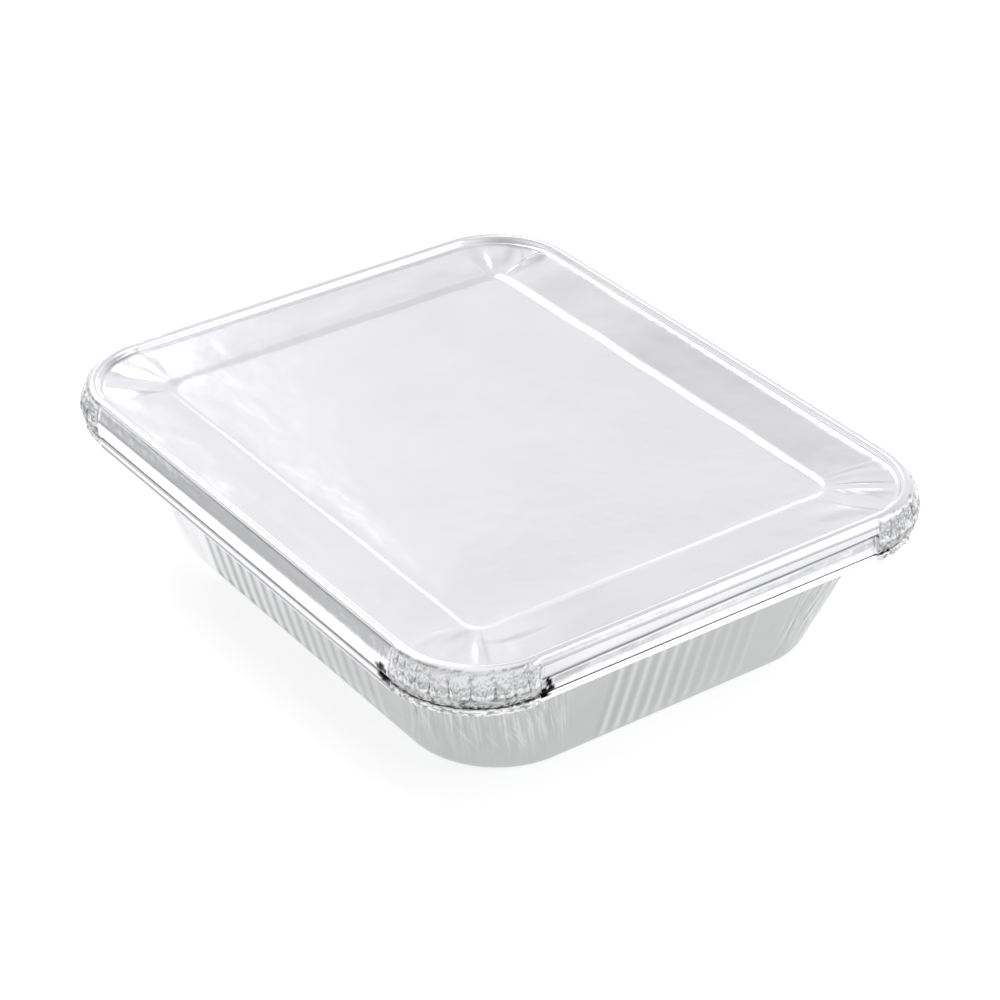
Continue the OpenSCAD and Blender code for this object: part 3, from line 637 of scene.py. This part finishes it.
def tray():
    k, kind, val, dist = tray_stations()
    k = k.astype(int)
    n = len(k)
    short, straight = k % 2 == 0, kind == 0
    pitch = np.where(short, PITCH[0], PITCH[1])
    edge = np.where(short, FLUTES[0][1], FLUTES[1][1])
    hs = np.where(short, HALF[0], HALF[1])
    hs_mouth = np.where(short, MOUTH[1] / 2 - MOUTH[2], MOUTH[0] / 2 - MOUTH[2])
    s = np.where(straight, SIDE_START[2 * k] + hs * (1 + val), SIDE_START[2 * k + 1] + ARC * val / 90)
    key = ring_key(k, kind, val)

    def wall(z):
        """Outline of the wall at the height z, with each station's place on it and distance from the middle."""
        t = (MOUTH_Z - z) / MOUTH_Z
        l, w, r = (m + (b - m) * t for m, b in zip(MOUTH, FLOOR))
        hs_z = np.where(short, w / 2 - r, l / 2 - r)
        # flutes keep their distance along the side, and the rest stretches
        d = np.where(np.abs(dist) <= edge, dist,
                     np.sign(dist) * (edge + (np.abs(dist) - edge) / (hs_mouth - edge) * (hs_z - edge)))
        return l, w, r, np.where(straight, d / hs_z, val), d

    # outside of the wall, from the floor up
    zs = [0.0, 0.0, 0.25, 1.0, 2.1, 3.2, 4.2, 5.6, 7.0, 8.5, 10.0] + list(np.linspace(11.8, 64, 32)) + \
         [65.6, 67.2, 68.8, 70.4, 71.8, 73.2, 74.6, 76.0, MOUTH_Z]
    insets = [9.0, 4.0, 2.3, 0.9, 0.25] + [0.0] * (len(zs) - 5)
    arc = np.where(straight, smooth(20, 2, hs_mouth - np.abs(dist)), 1.0)
    rings, flank_shades, crumple_and_shade_rows, sheen_rows, ridge_sheen_shade_rows = [], [], [], [], []
    for z, inset in zip(zs, insets):
        l, w, r, at, d = wall(z)
        up = smooth(5.0, 11.0, z) * smooth(74.0, 68.0, z)
        uneven = 1 + 0.25 * noise(d / pitch * 1.7 + 3 + 5 * k, 0.4, 4)
        ends = smooth(0, 3, edge - np.abs(d))
        flute = np.where(straight, 0.5 * (1 + np.cos(d * 2 * math.pi / pitch)), 0) * ends * up * uneven * 0.7
        lean = s + (z - 40) * 0.55 * np.where(straight, 0, np.cos(np.radians(val * 2)))
        wrinkle = arc * (0.85 * creases(lean, 31, 7.4, GIRTH + 40) * smooth(-5, 30, z) +
                         0.50 * creases(s - (z - 40) * 0.6, 32, 4.4, GIRTH + 80) * smooth(20, 56, z) +
                         0.26 * creases(s + (z - 40) * 0.5, 33, 2.4, GIRTH + 80) * smooth(36, 60, z))
        dent = 0.22 * round_noise(s, 40, z / 30, 5) * smooth(0, 14, z) * smooth(77, 66, z)
        fine = 0.05 * round_noise(s, 260, z / 40, 6) * smooth(3, 14, z)
        px, py = place(k, kind, at, l - 2 * inset, w - 2 * inset, np.maximum(r - inset, 5),
                       0 if inset > 0.5 else flute + wrinkle + dent + fine)
        rings.append(np.stack([px, py, np.full(n, z)], -1))
        # the flutes' flanks, with painted highlights on one and painted shade on the other, which fade along the
        # sides, and painted reflections on the bright ends of the sides
        phase = 0.5 + 0.5 * np.sin(d * 2 * math.pi / pitch)
        shown = np.where(short, 0.36 * (1 - 0.9 * smooth(-25, 30, d)), 0.92 - 0.55 * smooth(-60, 70, d))
        shown = shown * smooth(1.5, 5, z) * ends * straight
        end_sheen = np.where(short, ~straight * smooth(40, 80, val), straight * smooth(-70.5, -74.5, d))
        flank_shades.append((1 - phase) ** 1.2 * shown * np.where(short, 0.30, 0.44))
        # crumpled corner walls: rougher, bumpier and greyed by painted shade
        crumple_and_shade_rows.append(0.12 * arc * smooth(30, 74, z))
        sheen_rows.append(0.86 * phase ** 1.4 * shown + end_sheen * (0.95 + 0.30 * round_noise(s, 90, z / 26, 6)))
        # upright ridges on the corner walls, with painted light and dark streaks
        ridge_sheen_shade_rows.append(arc * smooth(2, 40, z) * (0.45 + 0.55 * smooth(-0.4, 0.4, round_noise(s, 60, z / 22, 3))))

    # ledge, rim, lip and hem
    run = hs - np.where(short, CRIMP[0], CRIMP[1])
    crimp = np.where(straight, smooth(-0.3, 0.6, np.abs(val) * hs - run), 1.0)
    plain = 1 - crimp
    low = 18.4 * plain + 18.3 * crimp
    bulge = 2.3 + creases(s, 41, 1.6, GIRTH + 10) * 0.5 + 0.3 * round_noise(s, 700, 2.5, 7)
    rim = [(-4.5, 3.9), (-3.0, 1.2), (-1.8, 0.75), (LIP, 1.7), (LIP, low - 1.2)]
    long_hem = section(n, rim + [(LIP, 18.3), (0.9, 18.5), (1.35, 18.95), (1.45, 21.6), (1.1, 22.0), (1.75, 22.5),
                                 (1.65, 23.1), (0.5, 23.3)])
    short_hem = section(n, rim + [(LIP, 18.3), (0.3, 18.6), (1.2, 19.6), (1.05, 20.1), (1.6, 20.7), (1.55, 21.2),
                                  (0.9, 21.5), (0.2, 21.2)])
    crushed = section(n, rim + [(LIP, low), (bulge * 0.5, low + 0.1), (bulge, low + 0.7), (bulge * 0.86, low + 1.7),
                                (bulge, low + 2.8), (bulge * 0.75, low + 3.7), (bulge * 0.3, low + 4.1),
                                (-0.6, low + 3.6)])
    c3 = crimp[:, None, None]
    curve = spine(np.where(short[:, None, None], short_hem, long_hem) * (1 - c3) + crushed * c3,
                  [1, 1, 1, 2, 2, 3, 4, 3, 3, 3, 3, 2])
    w, h = curve[:, :, 0].T, curve[:, :, 1].T
    in_hem = smooth(0, 1.2, h - low + 0.3)
    w = w + in_hem * crimp * 0.22 * round_noise(s, 800, h * 1.5, 8)
    h = h + in_hem * crimp * 0.25 * round_noise(s, 620, h * 0.8, 9)
    h = h + in_hem * plain * 0.10 * round_noise(s, 60, 0.3, 10)
    x, y = place(k, kind, val, RIM_L, RIM_W, RIM_R, w)
    grid = np.concatenate([np.stack(rings), np.stack([x, y, TOP - h], -1)])
    total_rows = len(grid)
    nz = len(zs)
    cols = np.arange(0, n, 4)
    nc, kc = len(cols), key[cols]
    kp, tp, vp, sp, cp = k[cols], kind[cols], val[cols], short[cols], crimp[cols]

    # coarser skins: the hidden face of the rim and hem, and the inside
    back = [(-4.1, 4.05), (-2.8, 1.65), (-1.9, 1.2), (-1.4, 2.0)]
    for (wl, hl), (ws, hs_), (wc, hc) in zip([(-1.4, 18.4), (-0.8, 19.2), (0.2, 20.5), (0.3, 22.4)],
                                             [(-1.4, 18.4), (-0.8, 19.0), (0.1, 19.7), (0.0, 20.7)],
                                             [(-1.4, 18.3), (-1.25, 19.2), (-1.1, 20.2), (-1.05, 21.2)]):
        back.append((np.where(sp, ws, wl) * (1 - cp) + wc * cp, np.where(sp, hs_, hl) * (1 - cp) + hc * cp))
    hidden = []
    for a, b in back:
        px, py = place(kp, tp, vp, RIM_L, RIM_W, RIM_R, a)
        hidden.append(np.stack([px, py, np.broadcast_to(TOP - b, nc)], -1))
    inside = []
    for z, inset in ((0.3, 6.0), (1.2, 1.6), (4.2, 0), (10, 0), (18, 0), (26, 0), (34, 0), (42, 0), (50, 0), (58, 0),
                     (64, 0), (70, 0), (74, 0), (76.2, 0)):
        l, w_z, r, at, d = wall(z)
        px, py = place(k, kind, at, l - 2 * inset, w_z - 2 * inset, np.maximum(r - inset, 5),
                       -(0.5 + 1.5 * arc * smooth(0, 10, z)))
        inside.append(np.stack([px, py, np.full(n, z)], -1)[cols])
    px, py = place(kp, tp, vp, *MOUTH, -0.4)
    inside.append(np.stack([px, py, np.full(nc, 77.7)], -1))

    # all skins, with the middle of the underside after the wall and the middle of the floor after the inside
    under = nz * n
    off_hidden = under + 1
    off_inside = off_hidden + len(hidden) * nc
    middle = off_inside + len(inside) * nc
    off_hem = middle + 1
    verts = np.concatenate([grid[:nz].reshape(-1, 3), np.array([[0, 0, 0.0]]), *hidden, *inside,
                            np.array([[0, 0, 0.3]]), grid[nz:].reshape(-1, 3)])
    faces = quads(nz, n) + turned(fan(0, n, under))
    faces += stitch(under - n, key, off_hidden, kc) + quads(len(hidden), nc, off_hidden)
    faces += turned(quads(len(inside), nc, off_inside)) + fan(off_inside, nc, middle)
    faces += stitch(off_hem, key, middle - nc, kc) + turned(quads(total_rows - nz, n, off_hem))
    faces += turned(stitch(off_hem + (total_rows - nz - 1) * n, key, off_inside - nc, kc))

    # painted shade: the open ends of the rolls, a painted shadow in the gap under the lid's foot, a dark groove, and
    # dark flecks on the crushed hem
    hh = TOP - grid[:, :, 2]
    painted_shade = hollow_end_shade(k, kind, val * hs, run, s, hh)
    gap_end = np.where(crimp > 0.5, low + 0.35, np.where(short, 19.0, 18.85))
    gap = smooth(17.3, 17.9, hh) * smooth(gap_end + 0.1, gap_end - 0.3, hh)
    dash = smooth(-0.25, 0.15, round_noise(s, 330, 0.5, 2))
    fleck_shade = smooth(0.15, 0.5, round_noise(s, 900, hh * 0.9, 4)) * smooth(low + 0.4, low + 0.9, hh)
    for marks in (gap * (0.315 * plain + 0.95 * crimp * dash), 0.36 * bell(hh, 22.0, 0.34) * plain * ~short,
                  0.5 * fleck_shade * crimp):
        painted_shade = np.maximum(painted_shade, marks)
    painted_shade[:nz] = flank_shades
    hem_rows = total_rows - nz
    values = {
        "painted_shade": painted_shade,
        "crumple_and_shade": np.stack(crumple_and_shade_rows + [0.45 * crimp] * hem_rows),
        # the rim and hem are lifted to bright foil, without the walls' painted darkening
        "painted_sheen_and_bright_foil": np.clip(np.stack(sheen_rows + [np.ones(n)] * hem_rows), 0, 1),
        "ridge_sheen_shade": np.stack(ridge_sheen_shade_rows + [np.zeros(n)] * hem_rows),
        "around": np.stack([s * 0.001] * total_rows),
    }
    attrs = {}
    for name, rows in values.items():
        attrs[name] = np.zeros(len(verts))
        attrs[name][:under] = rows[:nz].reshape(-1)
        attrs[name][off_hem:] = rows[nz:].reshape(-1)
    return make("tray_foil_sheet", verts, faces, attrs, "tray", tray_foil)


lid()
tray()

# ---------------------------------------------------------------- floor, light and camera

scene = bpy.context.scene
scene.view_settings.view_transform = "Standard"


def stage_object(name, points, faces, material):
    """A plain mesh for the floor or the screen."""
    mesh = bpy.data.meshes.new(name)
    mesh.from_pydata(points, [], faces)
    mesh.materials.append(material)
    ob = bpy.data.objects.new(name, mesh)
    scene.collection.objects.link(ob)
    return ob


# the floor: white for the camera and for reflections, and grey under that, so that it keeps the object's shadow
white = bpy.data.materials.new("floor_white")
N, L = fresh_nodes(white)
path = N("ShaderNodeLightPath")
seen = path.outputs["Is Camera Ray"]
for other in ("Is Glossy Ray", "Is Transmission Ray"):
    either = N("ShaderNodeMath")
    either.operation = "MAXIMUM"
    L(seen, either.inputs[0])
    L(path.outputs[other], either.inputs[1])
    seen = either.outputs[0]
level = N("ShaderNodeMath")
level.operation = "MULTIPLY"
level.inputs[1].default_value = 0.72
L(seen, level.inputs[0])
diffuse = N("ShaderNodeBsdfDiffuse")
diffuse.inputs["Color"].default_value = (0.46, 0.46, 0.462, 1)
glow = N("ShaderNodeEmission")
glow.inputs["Color"].default_value = (1, 1, 1, 1)
L(level.outputs[0], glow.inputs["Strength"])
both = N("ShaderNodeAddShader")
L(diffuse.outputs[0], both.inputs[0])
L(glow.outputs[0], both.inputs[1])
L(both.outputs[0], N("ShaderNodeOutputMaterial").inputs[0])
SIDE = 6.0
floor = stage_object("floor", [(-SIDE, -SIDE, 0), (SIDE, -SIDE, 0), (SIDE, SIDE, 0), (-SIDE, SIDE, 0)],
                     [[0, 1, 2, 3]], white)
floor.location.z = -0.0004

# a low grey screen round the front and sides of the floor, out of the picture, for the foil to reflect
grey = bpy.data.materials.new("screen_grey")
N, L = fresh_nodes(grey)
glow = N("ShaderNodeEmission")
glow.inputs["Color"].default_value = (0.42, 0.425, 0.43, 1)
L(glow.outputs[0], N("ShaderNodeOutputMaterial").inputs[0])
SCREEN_STEPS = 48
points, faces = [], []
for i in range(SCREEN_STEPS + 1):
    turn = -155 + 235 * i / SCREEN_STEPS
    a = math.radians(turn)
    far = 0.345 + 0.085 * smooth(-80, 20, turn)
    for z in (0.0, 0.048 + 0.012 * float(smooth(-95, -65, turn))):
        points.append((far * math.cos(a), far * math.sin(a), z))
    if i:
        faces.append([2 * i - 2, 2 * i, 2 * i + 1, 2 * i - 1])
screen = stage_object("screen", points, faces, grey)
screen.visible_camera = False
screen.visible_diffuse = False
screen.visible_shadow = False

# the studio: one sky, which turns into a second one towards -X and -Y, the picture's left
world = bpy.data.worlds.new("studio")
scene.world = world
N, L = fresh_nodes(world)
direction = N("ShaderNodeTexCoord").outputs["Generated"]
split = N("ShaderNodeSeparateXYZ")
L(direction, split.inputs[0])
height = N("ShaderNodeMapRange")
height.inputs["From Min"].default_value = -1
height.inputs["From Max"].default_value = 1
L(split.outputs["Z"], height.inputs["Value"])
toward = N("ShaderNodeVectorMath")
toward.operation = "DOT_PRODUCT"
toward.inputs[1].default_value = (-0.62, -0.78, 0.0)
L(direction, toward.inputs[0])
share = N("ShaderNodeMapRange")
share.inputs["From Min"].default_value = 0.15
share.inputs["From Max"].default_value = 0.65
L(toward.outputs["Value"], share.inputs["Value"])


def sky(stops):
    """Grey levels of the studio from straight down (0) over the horizon (0.5) to straight up (1)."""
    ramp = N("ShaderNodeValToRGB")
    L(height.outputs[0], ramp.inputs[0])
    first, last = ramp.color_ramp.elements
    first.position, last.position = stops[0][0], stops[-1][0]
    for el, (_, g) in [(first, stops[0]), (last, stops[-1])]:
        el.color = (g, g, g * 1.02, 1)
    for q, g in stops[1:-1]:
        ramp.color_ramp.elements.new(q).color = (g, g, g * 1.02, 1)
    return ramp.outputs[0]


blend = N("ShaderNodeMix")
blend.data_type = "RGBA"
L(share.outputs[0], blend.inputs[0])
L(sky(((0, 0.9), (0.5, 1.05), (0.61, 0.98), (0.67, 0.86), (0.73, 0.87), (0.765, 0.86), (0.80, 0.78), (0.85, 0.70),
       (0.92, 0.70), (0.965, 0.95), (1, 0.98))), blend.inputs[6])
L(sky(((0, 0.8), (0.47, 0.8), (0.485, 0.94), (0.61, 0.94), (0.635, 0.62), (0.70, 0.60), (0.80, 0.75), (1, 0.62))),
  blend.inputs[7])
background = N("ShaderNodeBackground")
L(blend.outputs[2], background.inputs["Color"])
L(background.outputs[0], N("ShaderNodeOutputWorld").inputs[0])


def area(name, loc, size, power, size_y=None):
    """A soft lamp that faces the object."""
    lamp = bpy.data.lights.new(name, "AREA")
    lamp.shape = "RECTANGLE"
    lamp.size = size
    lamp.size_y = size_y or size
    lamp.energy = power
    ob = bpy.data.objects.new(name, lamp)
    ob.location = loc
    ob.rotation_euler = (Vector((0, 0, 0.04)) - Vector(loc)).to_track_quat("-Z", "Y").to_euler()
    scene.collection.objects.link(ob)


area("key", (-1.5, 0.1, 1.6), 1.2, 14)
area("fill", (1.2, 1.4, 1.1), 1.2, 7)
area("card", (-1.06, 1.27, 0.22), 0.8, 1.2, 0.22)

# the camera, fitted to the photo: its focal length is in pixels of a picture 1000 wide
FOCAL, PICTURE, SENSOR = 3094.36, 1000, 36
cam_data = bpy.data.cameras.new("camera")
cam_data.sensor_width = SENSOR
cam_data.lens = FOCAL / PICTURE * SENSOR
cam_data.clip_end = 50
cam = bpy.data.objects.new("camera", cam_data)
right = Vector((0.5817, 0.8134, -0.0018))
up = Vector((-0.4269, 0.3071, 0.8505))
back = right.cross(up).normalized()
up = back.cross(right).normalized()
right.normalize()
rot = Matrix((right, up, back)).transposed()
cam.matrix_world = Matrix.Translation(Vector((0.9854, -0.6966, 0.7880))) @ rot.to_4x4()
scene.collection.objects.link(cam)
scene.camera = cam

bpy.context.view_layer.update()
